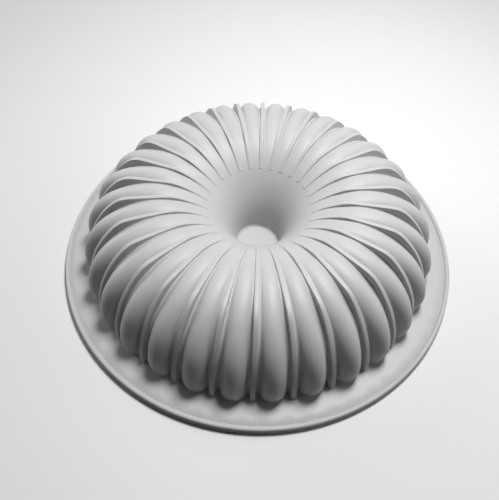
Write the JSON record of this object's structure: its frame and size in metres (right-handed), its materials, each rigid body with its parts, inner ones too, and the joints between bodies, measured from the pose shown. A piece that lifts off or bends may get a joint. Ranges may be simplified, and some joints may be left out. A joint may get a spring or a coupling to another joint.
{
  "type": "kugelhopf mould",
  "caption": "Round fluted silicone cake mould lying rim down: annular crown of radial flutes with stiffening ribs, closed centre funnel and flat beaded rim with a wire ring.",
  "frame": {"origin": "centre of the rim's underside, which rests on a table with the crown up", "axes": "+Z is the mould's own axis, up out of the closed side of the crown; a rib lies at every 12 degrees, and a flute's crest lies on +X"},
  "size_m": [0.25, 0.25, 0.0528],
  "materials": {
    "silicone": "matt moulded, pale grey",
    "wire": "drawn stainless wire"
  },
  "bodies": {
    "root": {"silicone_moulding": "silicone", "rim_wire_ring": "wire"}
  },
  "joints": []
}
